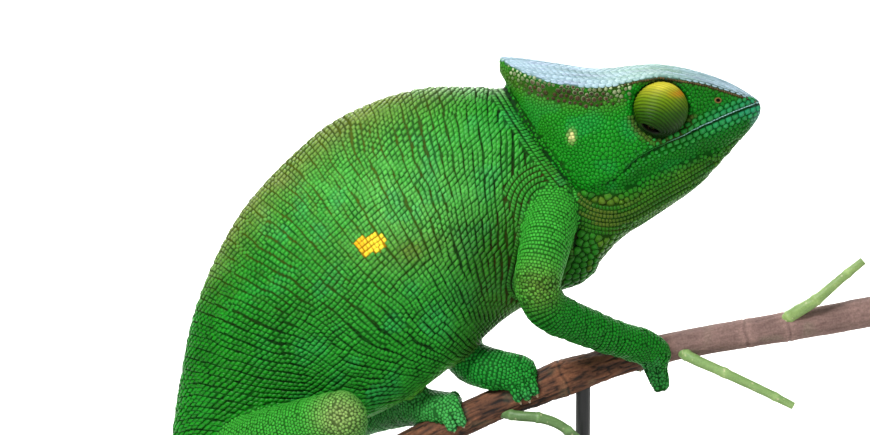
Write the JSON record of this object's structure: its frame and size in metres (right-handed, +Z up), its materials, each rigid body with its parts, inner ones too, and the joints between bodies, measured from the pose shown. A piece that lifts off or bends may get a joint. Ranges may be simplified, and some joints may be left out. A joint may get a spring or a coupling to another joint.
{
  "type": "parson's chameleon, life-size display model",
  "caption": "Still life-size model of a large green chameleon gripping a cut branch, its tail in a spiral, on a flat base with two short rods.",
  "frame": {"origin": "centre of the base's underside", "axes": "+X the way the animal faces, +Z up, so its right side faces -Y"},
  "size_m": [0.2681, 0.12, 0.2544],
  "materials": {
    "green_skin": "satin scaled skin",
    "eyelid_skin": "satin wrinkled skin",
    "dark_eye": "wet gloss",
    "pale_claw": "satin horn",
    "branch_bark": "rough bark",
    "green_shoot": "satin young bark",
    "stand_wood": "dark stained, satin varnish",
    "stand_steel": "black satin"
  },
  "bodies": {
    "root": {"head": "green_skin", "lower_jaw": "green_skin", "throat": "green_skin", "neck": "green_skin", "chest": "green_skin", "belly": "green_skin", "tail_1": "green_skin", "tail_2": "green_skin", "tail_3": "green_skin", "tail_4": "green_skin", "tail_5": "green_skin", "tail_6": "green_skin", "upper_arm_right": "green_skin", "forearm_right": "green_skin", "thigh_right": "green_skin", "shank_right": "green_skin", "hand_outer_right": "green_skin", "hand_inner_right": "green_skin", "foot_outer_right": "green_skin", "foot_inner_right": "green_skin", "upper_arm_left": "green_skin", "forearm_left": "green_skin", "thigh_left": "green_skin", "shank_left": "green_skin", "hand_outer_left": "green_skin", "hand_inner_left": "green_skin", "foot_outer_left": "green_skin", "foot_inner_left": "green_skin", "eye_turret_right": "eyelid_skin", "eye_turret_left": "eyelid_skin", "eyeball_right": "dark_eye", "eyeball_left": "dark_eye", "claw_hand_outer_right_1": "pale_claw", "claw_hand_outer_right_2": "pale_claw", "claw_hand_inner_right_1": "pale_claw", "claw_hand_inner_right_2": "pale_claw", "claw_hand_inner_right_3": "pale_claw", "claw_foot_outer_right_1": "pale_claw", "claw_foot_outer_right_2": "pale_claw", "claw_foot_outer_right_3": "pale_claw", "claw_foot_inner_right_1": "pale_claw", "claw_foot_inner_right_2": "pale_claw", "claw_hand_outer_left_1": "pale_claw", "claw_hand_outer_left_2": "pale_claw", "claw_hand_inner_left_1": "pale_claw", "claw_hand_inner_left_2": "pale_claw", "claw_hand_inner_left_3": "pale_claw", "claw_foot_outer_left_1": "pale_claw", "claw_foot_outer_left_2": "pale_claw", "claw_foot_outer_left_3": "pale_claw", "claw_foot_inner_left_1": "pale_claw", "claw_foot_inner_left_2": "pale_claw", "perch_branch": "branch_bark", "twig_green": "green_shoot", "twig_right": "green_shoot", "twig_upper": "green_shoot", "stand_base": "stand_wood", "stand_rod_front": "stand_steel", "stand_rod_rear": "stand_steel"}
  },
  "joints": []
}
